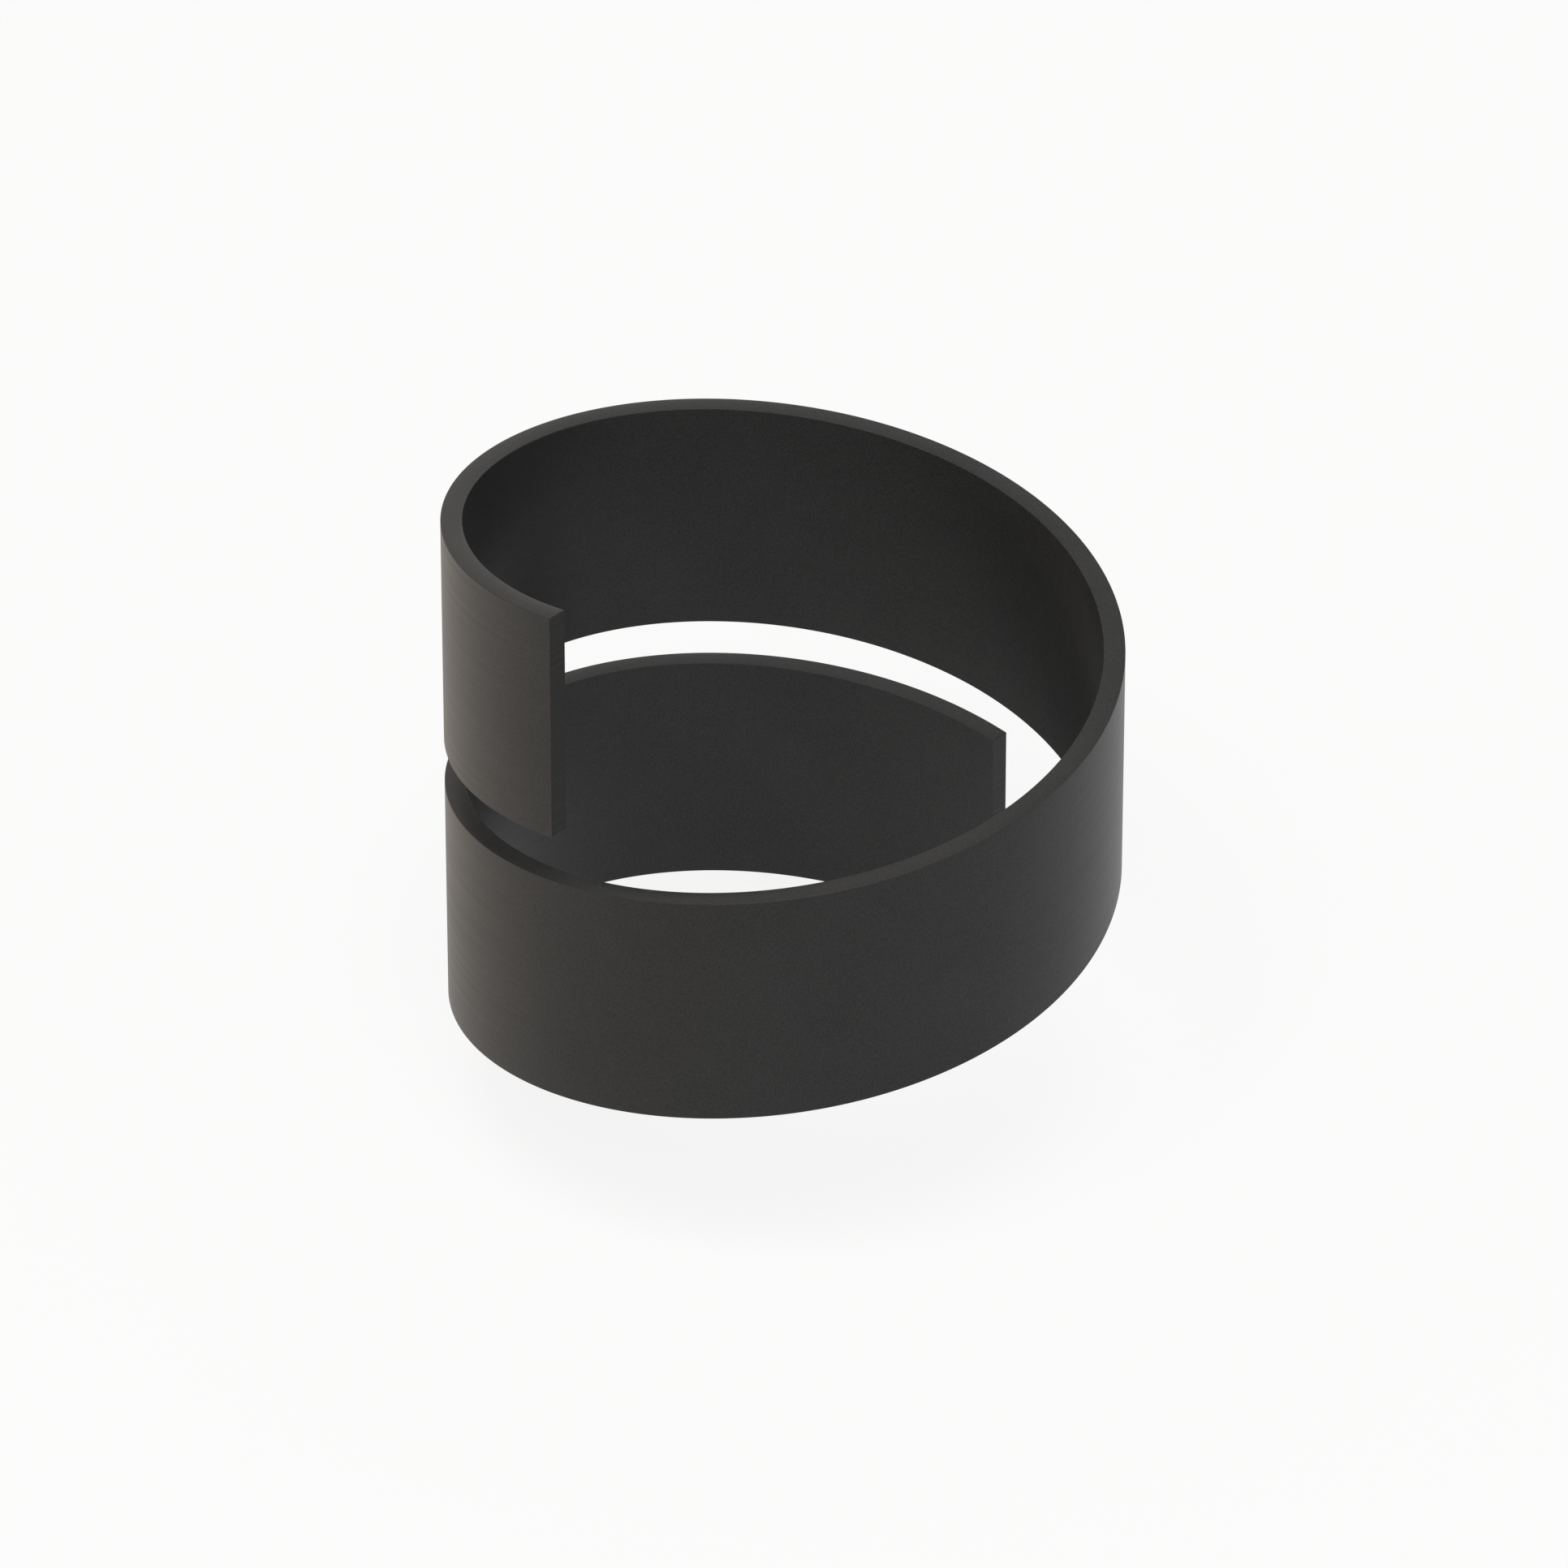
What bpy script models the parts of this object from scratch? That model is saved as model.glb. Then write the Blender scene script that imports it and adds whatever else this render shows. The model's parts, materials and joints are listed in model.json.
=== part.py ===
"""Open helical shaft collar: a single strip of black plastic wound one and a half turns.

The strip has a plain rectangular section. It rises as a right-hand helix and leaves an even
gap between its turns, so it can be sprung open sideways and wrapped round a shaft. Both ends
are cut square, in one plane that holds the shaft's axis. There are no holes and no fasteners.

Lengths are in metres. +Z runs up the shaft's axis, the origin is on that axis halfway along
the collar, the lower end is cut at +X and the strip climbs anticlockwise seen from above.
"""

import math

import bmesh
import bpy
import numpy as np

# Driving dimensions of the wound strip
BORE_DIAMETER = 0.050
WALL_THICKNESS = 0.0017
STRIP_WIDTH = 0.020
TURN_GAP = 0.004
TURNS = 1.5
EDGE_BREAK = 0.00012

# Smoothness of the winding
STEPS_PER_TURN = 120
EDGE_BREAK_SEGMENTS = 1
SHARP_ANGLE = math.radians(30.0)
GAP_SAMPLES = 600

# Sizes that follow from the driving dimensions
BORE_RADIUS = BORE_DIAMETER / 2
OUTER_RADIUS = BORE_RADIUS + WALL_THICKNESS
LEAD = STRIP_WIDTH + TURN_GAP
CLIMB = TURNS * LEAD
WINDING_ANGLE = TURNS * math.tau
WINDING_STEPS = round(TURNS * STEPS_PER_TURN)

# Black nylon as it leaves the die: matt and a neutral near black
STRIP_COLOUR = (0.020, 0.020, 0.020, 1.0)
STRIP_ROUGHNESS = 0.4

COLLECTION_NAME = "helical_shaft_collar"
STRIP_NAME = "collar_strip"


def clear_scene():
    """Remove every object that is in the file."""
    for obj in list(bpy.data.objects):
        bpy.data.objects.remove(obj, do_unlink=True)


def new_collection(name):
    """Add a collection to the scene and return it."""
    collection = bpy.data.collections.new(name)
    bpy.context.scene.collection.children.link(collection)
    return collection


def plastic(name, colour, roughness):
    """Return a plain plastic material."""
    material = bpy.data.materials.new(name)
    material.use_nodes = True
    shader = material.node_tree.nodes["Principled BSDF"]
    shader.inputs["Base Color"].default_value = colour
    shader.inputs["Roughness"].default_value = roughness
    shader.inputs["Metallic"].default_value = 0.0
    return material


def section_mesh(name):
    """Return the strip's rectangular section as a closed outline at the lower end, facing +X.

    The outline runs down its outer side, so that the wound surface faces outwards.
    """
    low_end = -CLIMB / 2
    half_width = STRIP_WIDTH / 2
    bm = bmesh.new()
    outline = [
        bm.verts.new((OUTER_RADIUS, 0.0, low_end + half_width)),
        bm.verts.new((OUTER_RADIUS, 0.0, low_end - half_width)),
        bm.verts.new((BORE_RADIUS, 0.0, low_end - half_width)),
        bm.verts.new((BORE_RADIUS, 0.0, low_end + half_width)),
    ]
    for start, end in zip(outline, outline[1:] + outline[:1]):
        bm.edges.new((start, end))
    mesh = bpy.data.meshes.new(name)
    bm.to_mesh(mesh)
    bm.free()
    return mesh


def wound_mesh(name, collection):
    """Wind the section up the helix, close the two cut ends and return the mesh."""
    section = bpy.data.objects.new(name + "_section", section_mesh(name + "_section"))
    collection.objects.link(section)
    winding = section.modifiers.new("Winding", "SCREW")
    winding.axis = "Z"
    winding.angle = WINDING_ANGLE
    winding.screw_offset = CLIMB
    winding.steps = WINDING_STEPS
    winding.render_steps = WINDING_STEPS
    winding.use_merge_vertices = False
    winding.use_smooth_shade = True

    graph = bpy.context.evaluated_depsgraph_get()
    mesh = bpy.data.meshes.new_from_object(section.evaluated_get(graph))
    mesh.name = name
    bpy.data.objects.remove(section, do_unlink=True)

    bm = bmesh.new()
    bm.from_mesh(mesh)
    open_ends = [edge for edge in bm.edges if edge.is_boundary]
    bmesh.ops.holes_fill(bm, edges=open_ends)
    bmesh.ops.recalc_face_normals(bm, faces=bm.faces)
    bm.to_mesh(mesh)
    bm.free()
    return mesh


def collar_strip(collection):
    """Build the collar's one piece, the wound strip with its edges broken."""
    mesh = wound_mesh(STRIP_NAME, collection)
    mesh.materials.append(plastic("black_nylon", STRIP_COLOUR, STRIP_ROUGHNESS))
    mesh.shade_smooth()
    mesh.set_sharp_from_angle(angle=SHARP_ANGLE)

    strip = bpy.data.objects.new(STRIP_NAME, mesh)
    collection.objects.link(strip)
    edge_break = strip.modifiers.new("EdgeBreak", "BEVEL")
    edge_break.width = EDGE_BREAK
    edge_break.segments = EDGE_BREAK_SEGMENTS
    edge_break.limit_method = "ANGLE"
    edge_break.angle_limit = SHARP_ANGLE
    return strip


def edge_points(rise, first_angle, last_angle):
    """Return points along an outer edge of the strip, between two angles of the winding.

    The rise is the edge's height above the middle of the section.
    """
    angles = np.linspace(first_angle, last_angle, GAP_SAMPLES)
    across = OUTER_RADIUS * np.cos(angles)
    along = OUTER_RADIUS * np.sin(angles)
    heights = angles / math.tau * LEAD - CLIMB / 2 + rise
    return np.stack([across, along, heights], axis=1)


def least_turn_gap():
    """Return the least distance between the strip's top edge and the turn above it."""
    top_edge = edge_points(STRIP_WIDTH / 2, 0.0, WINDING_ANGLE - math.tau)
    edge_above = edge_points(-STRIP_WIDTH / 2, math.tau, WINDING_ANGLE)
    apart = np.linalg.norm(top_edge[:, None, :] - edge_above[None, :, :], axis=2)
    return float(apart.min())


def main():
    """Build the collar in an empty scene."""
    clear_scene()
    collection = new_collection(COLLECTION_NAME)
    collar_strip(collection)
    print(f"Least gap between the turns: {least_turn_gap() * 1000:.2f} mm")


if __name__ == "__main__":
    main()
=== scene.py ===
"""Looks of an open helical shaft collar: a matt black strip wound one and a half turns.

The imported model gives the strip's sizes. A finer strip with rounded edges is wound in the
solid's place, finished as black nylon with sawn ends, and shown on a pale floor in soft studio
light, through a long lens.
"""

import json
import logging
import math
from dataclasses import dataclass
from enum import Enum
from typing import Any

import bmesh
import bpy
from mathutils import Matrix, Vector


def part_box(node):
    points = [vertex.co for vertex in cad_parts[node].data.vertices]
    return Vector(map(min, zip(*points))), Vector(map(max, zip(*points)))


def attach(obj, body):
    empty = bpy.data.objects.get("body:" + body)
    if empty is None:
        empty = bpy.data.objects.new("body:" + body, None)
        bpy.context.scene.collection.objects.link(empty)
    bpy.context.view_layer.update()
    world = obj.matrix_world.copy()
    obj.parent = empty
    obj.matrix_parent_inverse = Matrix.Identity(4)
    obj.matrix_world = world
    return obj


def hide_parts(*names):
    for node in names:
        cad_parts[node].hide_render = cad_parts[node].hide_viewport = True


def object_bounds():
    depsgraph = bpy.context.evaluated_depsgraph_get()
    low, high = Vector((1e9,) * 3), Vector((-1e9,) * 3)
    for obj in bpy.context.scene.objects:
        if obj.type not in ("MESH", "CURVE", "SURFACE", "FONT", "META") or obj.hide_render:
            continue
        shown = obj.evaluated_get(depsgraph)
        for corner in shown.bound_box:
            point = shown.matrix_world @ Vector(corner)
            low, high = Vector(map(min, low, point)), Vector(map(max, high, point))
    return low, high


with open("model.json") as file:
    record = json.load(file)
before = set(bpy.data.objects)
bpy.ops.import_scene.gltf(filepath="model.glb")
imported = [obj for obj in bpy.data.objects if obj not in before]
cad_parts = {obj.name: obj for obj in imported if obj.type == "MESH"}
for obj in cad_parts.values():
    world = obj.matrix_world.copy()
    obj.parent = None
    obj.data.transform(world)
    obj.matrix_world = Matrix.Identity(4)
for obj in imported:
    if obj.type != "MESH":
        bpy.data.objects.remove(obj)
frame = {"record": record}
CAD_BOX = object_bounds()

LOG = logging.getLogger("helical_collar")

MM = 0.001
STRIP_NODE = "collar_strip"
STRIP_PIECE = "wound_strip"
ALONG = "along_strip"
ACROSS = "across_strip"
EDGE_DISTANCE = "edge_distance"

# Below nylon's own 1.53, which reflects more of the white studio than the photo shows
SHEEN_IOR = 1.3

# Most of Blender's noise lies between these two values
NOISE_LOW = 0.3
NOISE_HIGH = 0.7


def linear(hex_colour: str) -> tuple[float, float, float, float]:
    """Turn an sRGB hex colour into linear red, green, blue and alpha.

    Args:
        hex_colour: Colour such as "#2a2a2a".

    Returns:
        The four linear values, with alpha 1.
    """
    digits = hex_colour.lstrip("#")
    shares = [int(digits[i:i + 2], 16) / 255 for i in (0, 2, 4)]
    red, green, blue = (
        share / 12.92 if share <= 0.04045 else ((share + 0.055) / 1.055) ** 2.4
        for share in shares
    )
    return red, green, blue, 1.0


def add_node(
    tree: bpy.types.NodeTree, kind: str, settings: dict[str, Any] | None = None, **inputs: Any
) -> bpy.types.Node:
    """Add a node, set it up and feed its inputs.

    Args:
        tree: Node tree that takes the node.
        kind: Blender's type name of the node.
        settings: Properties of the node by name.
        inputs: Value or output socket for each input, by the input's name with _ for a space,
            or by its number after the letter i.

    Returns:
        The new node.
    """
    node = tree.nodes.new(kind)
    for name, value in (settings or {}).items():
        setattr(node, name, value)
    for name, value in inputs.items():
        key = int(name[1:]) if name[1:].isdigit() else name.replace("_", " ")
        if isinstance(value, bpy.types.NodeSocket):
            tree.links.new(value, node.inputs[key])
        else:
            node.inputs[key].default_value = value
    return node


def direction(azimuth: float, elevation: float) -> Vector:
    """Return the unit vector towards a place round the object.

    Args:
        azimuth: Degrees round the axis; 0 is on the -Y side and 90 on the +X side.
        elevation: Degrees above the horizon.

    Returns:
        The vector from the object towards that place.
    """
    turn, lift = math.radians(azimuth), math.radians(elevation)
    level = math.cos(lift)
    return Vector((math.sin(turn) * level, -math.cos(turn) * level, math.sin(lift)))


class StripSurface(Enum):
    """The two kinds of surface on the strip, by material slot."""

    DRAWN = 0
    SAWN = 1


@dataclass(frozen=True)
class StripSizes:
    """Sizes of the wound strip, in metres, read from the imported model."""

    bore_radius: float
    wall: float
    width: float
    climb: float
    turns: float = 1.5

    @classmethod
    def from_record(cls, record: dict[str, Any]) -> "StripSizes":
        """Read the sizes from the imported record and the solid's box.

        Args:
            record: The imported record.

        Returns:
            The strip's sizes.
        """
        mounts = {mount["name"]: mount for mount in record["mounts"]}
        bore = mounts["shaft_bore"]["dims"]
        bore_radius = bore["r_mm"] * MM
        climb = mounts["upper_end_face"]["pos_m"][2] - mounts["lower_end_face"]["pos_m"][2]
        outer_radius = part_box(STRIP_NODE)[1].x
        return cls(
            bore_radius=bore_radius,
            wall=outer_radius - bore_radius,
            width=bore["length_mm"] * MM - climb,
            climb=climb,
        )

    @property
    def middle_radius(self) -> float:
        """Radius halfway through the wall."""
        return self.bore_radius + self.wall / 2

    @property
    def lead(self) -> float:
        """Climb of one full turn."""
        return self.climb / self.turns

    @property
    def winding(self) -> float:
        """Angle that the strip is wound through, in radians."""
        return self.turns * math.tau

    def unwound(self, point: Vector) -> tuple[float, float, float]:
        """Find a point's place on the strip laid out flat.

        Args:
            point: A point on the strip.

        Returns:
            Its distance along the strip from the lower end, across it from the middle line,
            and through it from the middle of the wall, in metres.
        """
        angle = math.atan2(point.y, point.x)
        rough_angle = (point.z + self.climb / 2) / self.lead * math.tau
        angle += math.tau * round((rough_angle - angle) / math.tau)
        middle_height = angle / math.tau * self.lead - self.climb / 2
        through = math.hypot(point.x, point.y) - self.middle_radius
        return angle * self.middle_radius, point.z - middle_height, through

    def edge_distance(self, point: Vector) -> float:
        """Measure how far a point on the surface is from the strip's nearest edge.

        Args:
            point: A point on the strip's surface.

        Returns:
            The distance to the edge, in metres.
        """
        along, across, through = self.unwound(point)
        end = self.winding * self.middle_radius
        gaps = [min(along, end - along), self.width / 2 - abs(across), self.wall / 2 - abs(through)]
        # The least gap is to the surface that the point lies on, and the next is to its edge
        return sorted(gaps)[1]


@dataclass(frozen=True)
class DrawnNylon:
    """Black nylon strip as it leaves the die: matt, near black, with faint lines along it.

    The eye gets an even dark grey that turns pale only at grazing angles. Close by, it finds a
    fine grain, draw lines that follow the strip round and edges rubbed slightly paler. Real
    grain and draw lines are finer still, and are drawn coarser here so that they show.
    """

    name: str = "black_nylon_drawn"
    body: str = "#1c1c1c"
    bloom: str = "#2f2f2f"
    rubbed: str = "#474747"
    ior: float = SHEEN_IOR
    roughness: float = 0.4
    roughness_spread: float = 0.05
    mottle_mm: float = 9.0
    grain_mm: float = 0.16
    grain_share: float = 0.75
    grain_height_mm: float = 0.009
    line_spacing_mm: float = 0.5
    line_length_mm: float = 45.0
    line_height_mm: float = 0.006
    rub_reach_mm: float = 0.15
    rub_share: float = 0.25

    def material(self) -> bpy.types.Material:
        """Make the material.

        Returns:
            The material, ready for a piece with the strip's three attributes.
        """
        material = bpy.data.materials.new(self.name)
        material.use_nodes = True
        tree = material.node_tree
        shader = tree.nodes["Principled BSDF"]
        shader.inputs["IOR"].default_value = self.ior

        place = add_node(tree, "ShaderNodeTexCoord").outputs["Object"]
        along = add_node(tree, "ShaderNodeAttribute", {"attribute_name": ALONG}).outputs["Fac"]
        across = add_node(tree, "ShaderNodeAttribute", {"attribute_name": ACROSS}).outputs["Fac"]
        edge = add_node(tree, "ShaderNodeAttribute", {"attribute_name": EDGE_DISTANCE}).outputs["Fac"]

        # Fine grain, and slow changes of tone where the melt cooled unevenly
        grain = add_node(
            tree, "ShaderNodeTexNoise", Vector=place,
            Scale=1 / (self.grain_mm * MM), Detail=2.0, Roughness=0.6,
        ).outputs["Fac"]
        mottle = add_node(
            tree, "ShaderNodeTexNoise", Vector=place,
            Scale=1 / (self.mottle_mm * MM), Detail=3.0, Roughness=0.55,
        ).outputs["Fac"]
        shade = add_node(
            tree, "ShaderNodeMix", i0=self.grain_share, i2=mottle, i3=grain
        ).outputs[0]
        spread = add_node(
            tree, "ShaderNodeMapRange", Value=shade, From_Min=NOISE_LOW, From_Max=NOISE_HIGH
        ).outputs[0]
        tone = add_node(
            tree, "ShaderNodeMix", {"data_type": "RGBA"}, i0=spread,
            i6=linear(self.body), i7=linear(self.bloom),
        ).outputs[2]

        # Draw lines: noise stretched along the strip
        line_place = add_node(
            tree, "ShaderNodeCombineXYZ",
            X=add_node(
                tree, "ShaderNodeMath", {"operation": "DIVIDE"}, i0=along, i1=self.line_length_mm * MM
            ).outputs[0],
            Y=add_node(
                tree, "ShaderNodeMath", {"operation": "DIVIDE"}, i0=across, i1=self.line_spacing_mm * MM
            ).outputs[0],
        ).outputs[0]
        lines = add_node(
            tree, "ShaderNodeTexNoise", Vector=line_place, Scale=1.0, Detail=2.0, Roughness=0.5
        ).outputs["Fac"]
        roughness = add_node(
            tree, "ShaderNodeMapRange", Value=lines,
            To_Min=self.roughness - self.roughness_spread, To_Max=self.roughness + self.roughness_spread,
        ).outputs[0]

        # Edges rubbed paler, unevenly along their length
        rub_reach = add_node(
            tree, "ShaderNodeMapRange", {"interpolation_type": "SMOOTHSTEP"}, Value=edge,
            From_Min=0.0, From_Max=self.rub_reach_mm * MM, To_Min=self.rub_share, To_Max=0.0,
        ).outputs[0]
        rub = add_node(
            tree, "ShaderNodeMath", {"operation": "MULTIPLY"}, i0=rub_reach, i1=mottle
        ).outputs[0]
        colour = add_node(
            tree, "ShaderNodeMix", {"data_type": "RGBA"}, Factor=rub, i6=tone, i7=linear(self.rubbed)
        ).outputs[2]

        # The grain and the lines stand up from the surface
        line_bump = add_node(
            tree, "ShaderNodeBump", Height=lines, Distance=self.line_height_mm * MM
        ).outputs[0]
        grain_bump = add_node(
            tree, "ShaderNodeBump", Height=grain, Distance=self.grain_height_mm * MM, Normal=line_bump
        ).outputs[0]

        tree.links.new(colour, shader.inputs["Base Color"])
        tree.links.new(roughness, shader.inputs["Roughness"])
        tree.links.new(grain_bump, shader.inputs["Normal"])
        return material


@dataclass(frozen=True)
class SawnNylon:
    """Black nylon where the strip was sawn to length: duller, with fine marks across the wall."""

    name: str = "black_nylon_sawn"
    body: str = "#1c1c1c"
    mark: str = "#2a2a2a"
    ior: float = SHEEN_IOR
    roughness: float = 0.5
    mark_spacing_mm: float = 0.4
    mark_height_mm: float = 0.012

    def material(self) -> bpy.types.Material:
        """Make the material.

        Returns:
            The material, ready for the strip's cut ends.
        """
        material = bpy.data.materials.new(self.name)
        material.use_nodes = True
        tree = material.node_tree
        shader = tree.nodes["Principled BSDF"]
        shader.inputs["IOR"].default_value = self.ior
        shader.inputs["Roughness"].default_value = self.roughness

        # Saw marks run level through the wall, so the noise changes only with height
        across = add_node(tree, "ShaderNodeAttribute", {"attribute_name": ACROSS}).outputs["Fac"]
        step = add_node(
            tree, "ShaderNodeMath", {"operation": "DIVIDE"}, i0=across, i1=self.mark_spacing_mm * MM
        ).outputs[0]
        marks = add_node(
            tree, "ShaderNodeTexNoise", {"noise_dimensions": "1D"}, W=step, Scale=1.0, Detail=3.0
        ).outputs["Fac"]
        colour = add_node(
            tree, "ShaderNodeMix", {"data_type": "RGBA"}, Factor=marks,
            i6=linear(self.body), i7=linear(self.mark),
        ).outputs[2]
        bump = add_node(
            tree, "ShaderNodeBump", Height=marks, Distance=self.mark_height_mm * MM
        ).outputs[0]
        tree.links.new(colour, shader.inputs["Base Color"])
        tree.links.new(bump, shader.inputs["Normal"])
        return material


@dataclass
class WoundStrip:
    """The collar's one piece: the strip, wound up its helix."""

    sizes: StripSizes
    drawn: DrawnNylon
    sawn: SawnNylon
    edge_round: float = 0.05 * MM
    edge_segments: int = 3
    steps_per_turn: int = 360
    rows_across: int = 8
    rows_through: int = 2
    sharp_angle: float = math.radians(30)

    def build(self) -> bpy.types.Object:
        """Wind the strip, round its edges and dress it.

        Returns:
            The finished piece.
        """
        mesh = bpy.data.meshes.new(STRIP_PIECE)
        bm = bmesh.new()
        self.wind(bm)
        self.mark_ends(bm)
        self.round_edges(bm)
        self.lay_out(bm)
        bm.to_mesh(mesh)
        bm.free()
        mesh.shade_smooth()
        piece = bpy.data.objects.new(STRIP_PIECE, mesh)
        bpy.context.scene.collection.objects.link(piece)
        self.dress(piece)
        return piece

    def wind(self, bm: bmesh.types.BMesh) -> None:
        """Sweep the strip's section up the helix, from the lower end at +X.

        Args:
            bm: Empty mesh that takes the strip.
        """
        sizes = self.sizes
        steps = round(sizes.turns * self.steps_per_turn)
        section = (
            Matrix.Translation((sizes.middle_radius, 0.0, -sizes.climb / 2))
            @ Matrix.Rotation(math.pi / 2, 4, "X")
            @ Matrix.Diagonal((sizes.wall, sizes.width, 1.0, 1.0))
        )
        bmesh.ops.create_grid(
            bm, x_segments=self.rows_through, y_segments=self.rows_across, size=0.5, matrix=section
        )
        bmesh.ops.spin(
            bm,
            geom=bm.verts[:] + bm.edges[:] + bm.faces[:],
            cent=(0.0, 0.0, 0.0),
            axis=(0.0, 0.0, 1.0),
            dvec=(0.0, 0.0, sizes.climb / steps),
            angle=sizes.winding,
            steps=steps,
        )
        bmesh.ops.recalc_face_normals(bm, faces=bm.faces)

    def mark_ends(self, bm: bmesh.types.BMesh) -> None:
        """Give the faces of the two cut ends their own material slot.

        Args:
            bm: The wound strip, before its edges are rounded.
        """
        for face in bm.faces:
            outward = face.calc_center_median().to_2d().normalized()
            around = Vector((-outward.y, outward.x, 0.0))
            cut = abs(face.normal.dot(around)) > math.cos(self.sharp_angle)
            surface = StripSurface.SAWN if cut else StripSurface.DRAWN
            face.material_index = surface.value

    def round_edges(self, bm: bmesh.types.BMesh) -> None:
        """Round every sharp edge of the strip.

        Args:
            bm: The wound strip.
        """
        sharp = [edge for edge in bm.edges if edge.calc_face_angle() > self.sharp_angle]
        bmesh.ops.bevel(
            bm,
            geom=sharp,
            offset=self.edge_round,
            offset_type="OFFSET",
            segments=self.edge_segments,
            profile=0.5,
            affect="EDGES",
            material=-1,
            clamp_overlap=True,
        )

    def lay_out(self, bm: bmesh.types.BMesh) -> None:
        """Store each point's place on the flat strip, for the finishes to follow.

        Args:
            bm: The finished strip.
        """
        along_layer = bm.verts.layers.float.new(ALONG)
        across_layer = bm.verts.layers.float.new(ACROSS)
        edge_layer = bm.verts.layers.float.new(EDGE_DISTANCE)
        for vert in bm.verts:
            vert[along_layer], vert[across_layer], _ = self.sizes.unwound(vert.co)
            vert[edge_layer] = self.sizes.edge_distance(vert.co)

    def dress(self, piece: bpy.types.Object) -> None:
        """Give the piece its finishes and even shading, and put it in the node's place.

        Args:
            piece: The strip's object.
        """
        piece.data.materials.append(self.drawn.material())
        piece.data.materials.append(self.sawn.material())
        flat_walls = piece.modifiers.new("FlatWalls", "WEIGHTED_NORMAL")
        flat_walls.mode = "FACE_AREA"
        flat_walls.weight = 100
        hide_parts(STRIP_NODE)
        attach(piece, "root")


@dataclass(frozen=True)
class Softbox:
    """One soft studio lamp, aimed at the object."""

    name: str
    azimuth: float
    elevation: float
    watts: float
    distance: float = 0.9
    size: float = 0.7

    def build(self) -> bpy.types.Object:
        """Hang the lamp.

        Returns:
            The lamp's object.
        """
        lamp = bpy.data.lights.new(self.name, "AREA")
        lamp.shape = "SQUARE"
        lamp.size = self.size
        lamp.energy = self.watts
        towards = direction(self.azimuth, self.elevation)
        obj = bpy.data.objects.new(self.name, lamp)
        obj.location = towards * self.distance
        obj.rotation_euler = towards.to_track_quat("Z", "Y").to_euler()
        bpy.context.scene.collection.objects.link(obj)
        return obj


@dataclass(frozen=True)
class LongLens:
    """The camera, with its place round the object and its lens."""

    azimuth: float = -47.94
    elevation: float = 33.16
    distance: float = 1.0164
    focal_mm: float = 296.4
    sensor_mm: float = 36.0
    clip_ratio: float = 20.0

    @property
    def left(self) -> Vector:
        """Level direction to the camera's left."""
        return direction(self.azimuth - 90.0, 0.0)

    def build(self) -> bpy.types.Object:
        """Set up the camera, aimed at the middle of the collar.

        Returns:
            The camera's object.
        """
        camera = bpy.data.cameras.new("long_lens")
        camera.lens = self.focal_mm
        camera.sensor_width = self.sensor_mm
        camera.clip_start = self.distance / self.clip_ratio
        camera.clip_end = self.distance * self.clip_ratio
        back = direction(self.azimuth, self.elevation)
        obj = bpy.data.objects.new("long_lens", camera)
        obj.location = back * self.distance
        obj.rotation_euler = back.to_track_quat("Z", "Y").to_euler()
        bpy.context.scene.collection.objects.link(obj)
        bpy.context.scene.camera = obj
        return obj


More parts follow.
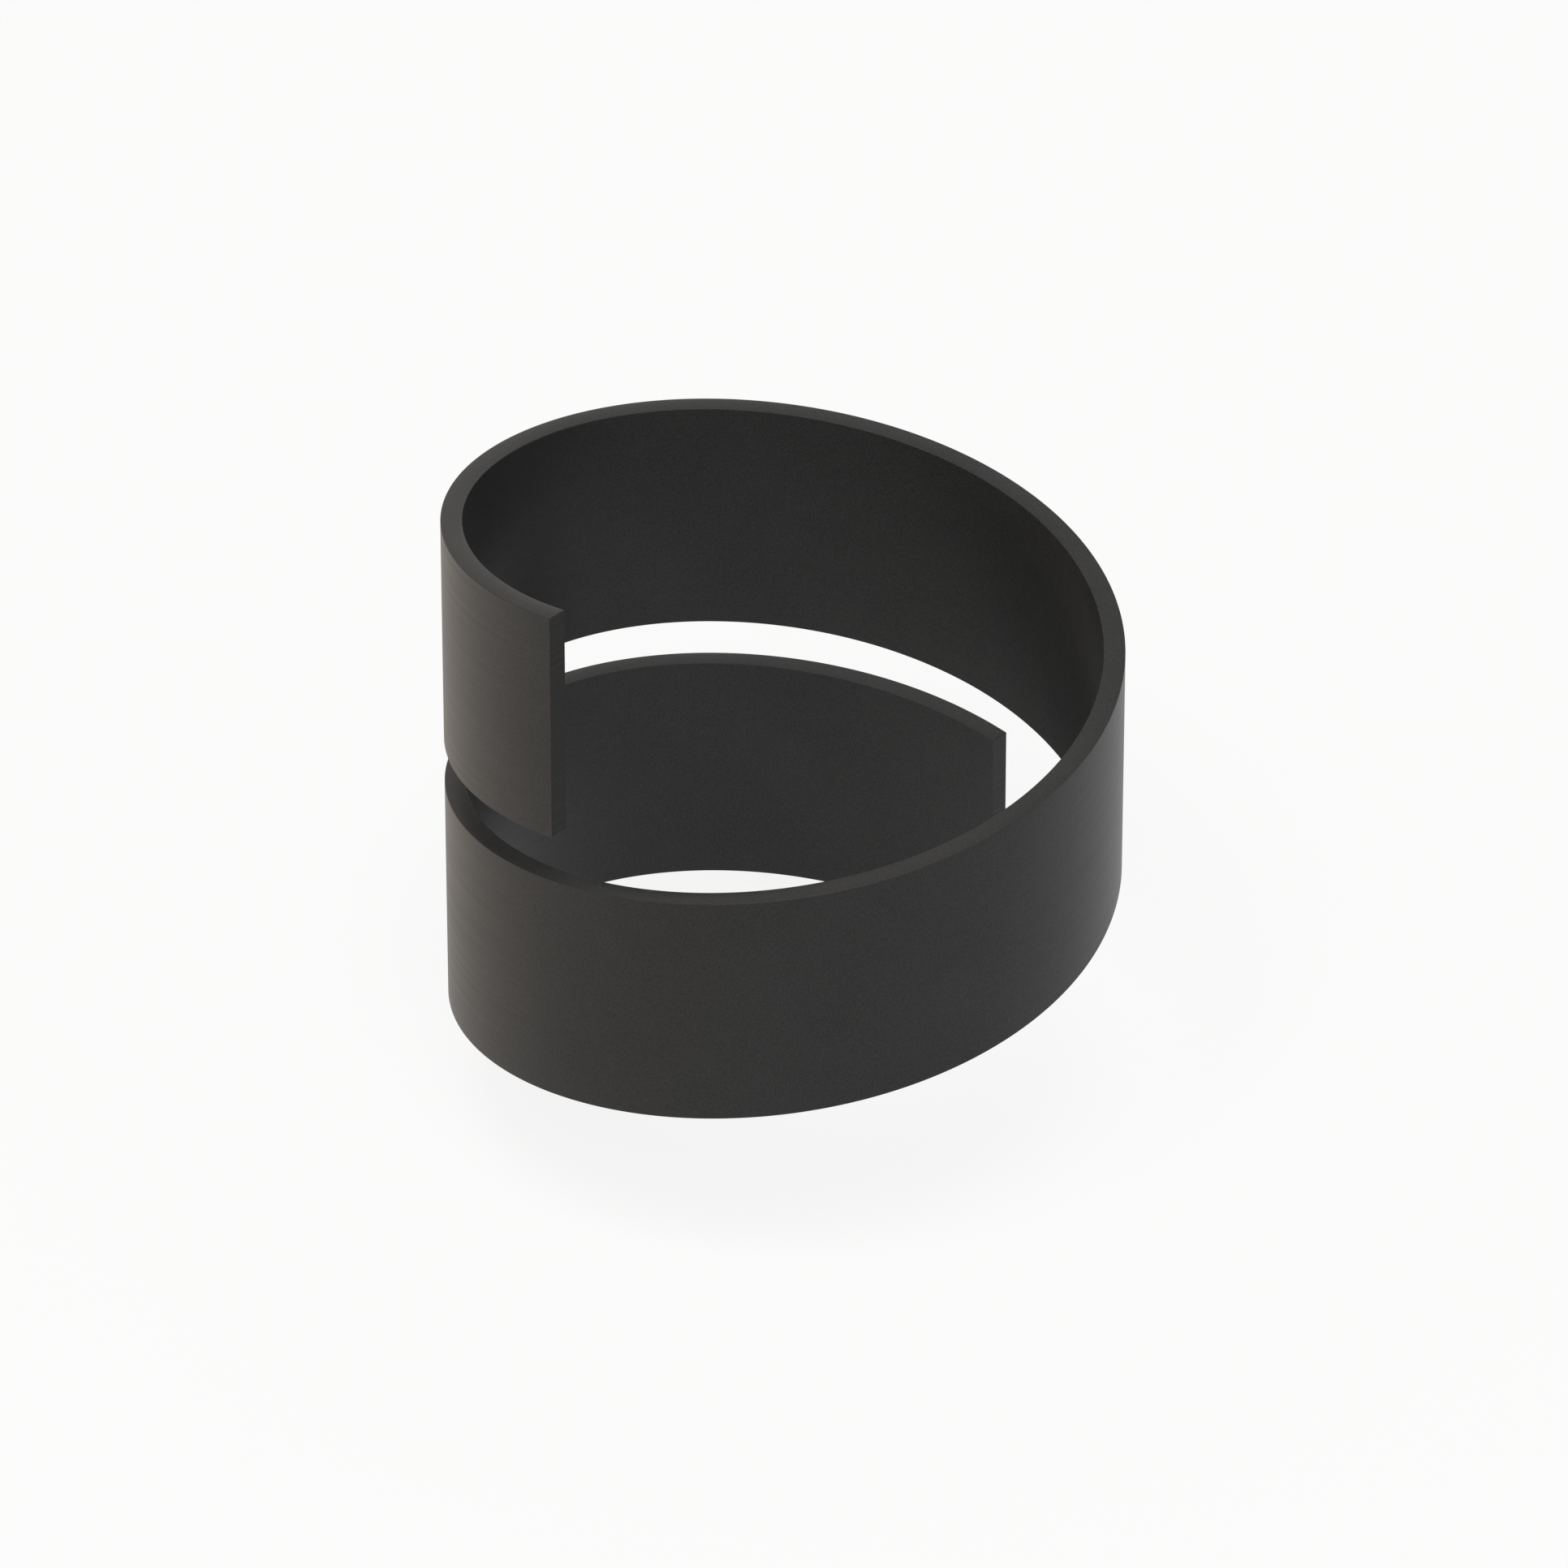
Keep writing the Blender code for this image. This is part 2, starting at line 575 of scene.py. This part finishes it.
@dataclass
class Studio:
    """The pale floor with its low backdrop, the sky and the soft lamps round the collar.

    The photo's reflections are slightly warm on the left, so the sky is too, and so is the floor
    where the collar mirrors it. The gain makes up for the light that the warm colour takes away.
    """

    floor_height: float
    lens: LongLens
    lamps: tuple[Softbox, ...]
    floor_reach: float = 3.0
    backdrop_height: float = 0.8
    rim_segments: int = 96
    floor_colour: str = "#e0e0e0"
    glow_share: float = 0.85
    sky_colour: str = "#ffffff"
    sky_strength: float = 0.4
    warm_colour: str = "#fff4e9"
    warm_gain: float = 1.1
    warm_floor_span: tuple[float, float] = (0.01, 0.05)
    warm_sky_span: tuple[float, float] = (-0.5, 0.5)

    def build(self) -> None:
        """Set up the whole studio."""
        self.lay_floor()
        self.light_sky()
        for lamp in self.lamps:
            lamp.build()
            LOG.info("lamp %s at %.0f, %.0f degrees", lamp.name, lamp.azimuth, lamp.elevation)
        self.lens.build()

    def warmth(
        self, tree: bpy.types.NodeTree, place: bpy.types.NodeSocket, span: tuple[float, float]
    ) -> bpy.types.NodeSocket:
        """Grade from 0 to 1 towards the camera's left.

        Args:
            tree: Node tree that takes the grade.
            place: Socket of the place or direction to grade.
            span: How far to the left the grade starts, and how far it ends.

        Returns:
            The socket of the grade.
        """
        leftward = add_node(
            tree, "ShaderNodeVectorMath", {"operation": "DOT_PRODUCT"}, i0=place, i1=self.lens.left
        ).outputs["Value"]
        start, end = span
        return add_node(
            tree, "ShaderNodeMapRange", {"interpolation_type": "SMOOTHSTEP"},
            Value=leftward, From_Min=start, From_Max=end,
        ).outputs[0]

    def floor_material(self) -> bpy.types.Material:
        """Make the floor's finish.

        Most of what the camera and reflections see of it glows, and the rest is lit, so the
        floor keeps a light shadow. The glow is white, but warm on the left in reflections.

        Returns:
            The material for the floor and backdrop.
        """
        material = bpy.data.materials.new("pale_floor")
        material.use_nodes = True
        tree = material.node_tree
        tree.nodes.clear()
        path = add_node(tree, "ShaderNodeLightPath")
        mirrored = add_node(
            tree, "ShaderNodeMath", {"operation": "MAXIMUM"},
            i0=path.outputs["Is Glossy Ray"], i1=path.outputs["Is Transmission Ray"],
        ).outputs[0]
        seen = add_node(
            tree, "ShaderNodeMath", {"operation": "MAXIMUM"},
            i0=path.outputs["Is Camera Ray"], i1=mirrored,
        ).outputs[0]
        share = add_node(
            tree, "ShaderNodeMath", {"operation": "MULTIPLY"}, i0=seen, i1=self.glow_share
        ).outputs[0]
        matt = add_node(tree, "ShaderNodeBsdfDiffuse", Color=linear(self.floor_colour)).outputs[0]
        place = add_node(tree, "ShaderNodeTexCoord").outputs["Object"]
        warm_share = add_node(
            tree, "ShaderNodeMath", {"operation": "MULTIPLY"},
            i0=self.warmth(tree, place, self.warm_floor_span), i1=mirrored,
        ).outputs[0]
        white = add_node(tree, "ShaderNodeEmission", Strength=1.0).outputs[0]
        warm = add_node(
            tree, "ShaderNodeEmission", Color=linear(self.warm_colour), Strength=self.warm_gain
        ).outputs[0]
        glow = add_node(tree, "ShaderNodeMixShader", i0=warm_share, i1=white, i2=warm).outputs[0]
        mixed = add_node(tree, "ShaderNodeMixShader", i0=share, i1=matt, i2=glow).outputs[0]
        add_node(tree, "ShaderNodeOutputMaterial", Surface=mixed)
        return material

    def lay_floor(self) -> bpy.types.Object:
        """Lay the round floor under the collar, with a low backdrop at its rim.

        Returns:
            The floor's object.
        """
        mesh = bpy.data.meshes.new("floor")
        bm = bmesh.new()
        bmesh.ops.create_circle(
            bm, cap_ends=True, radius=self.floor_reach, segments=self.rim_segments,
            matrix=Matrix.Translation((0.0, 0.0, self.floor_height)),
        )
        rim = [edge for edge in bm.edges if edge.is_boundary]
        wall = bmesh.ops.extrude_edge_only(bm, edges=rim)["geom"]
        raised = [item for item in wall if isinstance(item, bmesh.types.BMVert)]
        bmesh.ops.translate(bm, verts=raised, vec=(0.0, 0.0, self.backdrop_height))
        bm.to_mesh(mesh)
        bm.free()
        mesh.materials.append(self.floor_material())
        floor = bpy.data.objects.new("floor", mesh)
        bpy.context.scene.collection.objects.link(floor)
        return floor

    def light_sky(self) -> None:
        """Fill the shadows from all round, slightly warm from the left."""
        world = bpy.data.worlds.new("studio_fill")
        world.use_nodes = True
        tree = world.node_tree
        tree.nodes.clear()
        outward = add_node(tree, "ShaderNodeTexCoord").outputs["Generated"]
        warm_share = self.warmth(tree, outward, self.warm_sky_span)
        white = add_node(
            tree, "ShaderNodeBackground", Color=linear(self.sky_colour), Strength=self.sky_strength
        ).outputs[0]
        warm = add_node(
            tree, "ShaderNodeBackground",
            Color=linear(self.warm_colour), Strength=self.sky_strength * self.warm_gain,
        ).outputs[0]
        sky = add_node(tree, "ShaderNodeMixShader", i0=warm_share, i1=white, i2=warm).outputs[0]
        add_node(tree, "ShaderNodeOutputWorld", Surface=sky)
        bpy.context.scene.world = world


# The key hangs over the camera's left shoulder, with a weak lamp behind for the upper edges
LAMPS = (
    Softbox("key", azimuth=-63, elevation=62, watts=7.0),
    Softbox("rim", azimuth=132, elevation=48, watts=1.1),
)


def main() -> None:
    """Build the collar and its studio."""
    logging.basicConfig(level=logging.INFO, format="%(name)s: %(message)s")
    bpy.context.scene.view_settings.view_transform = "Standard"
    sizes = StripSizes.from_record(frame["record"])
    strip = WoundStrip(sizes, DrawnNylon(), SawnNylon()).build()
    LOG.info("%s: %d faces", strip.name, len(strip.data.polygons))
    floor_height = CAD_BOX[0].z
    Studio(floor_height, LongLens(), LAMPS).build()


if __name__ == "__main__":
    main()
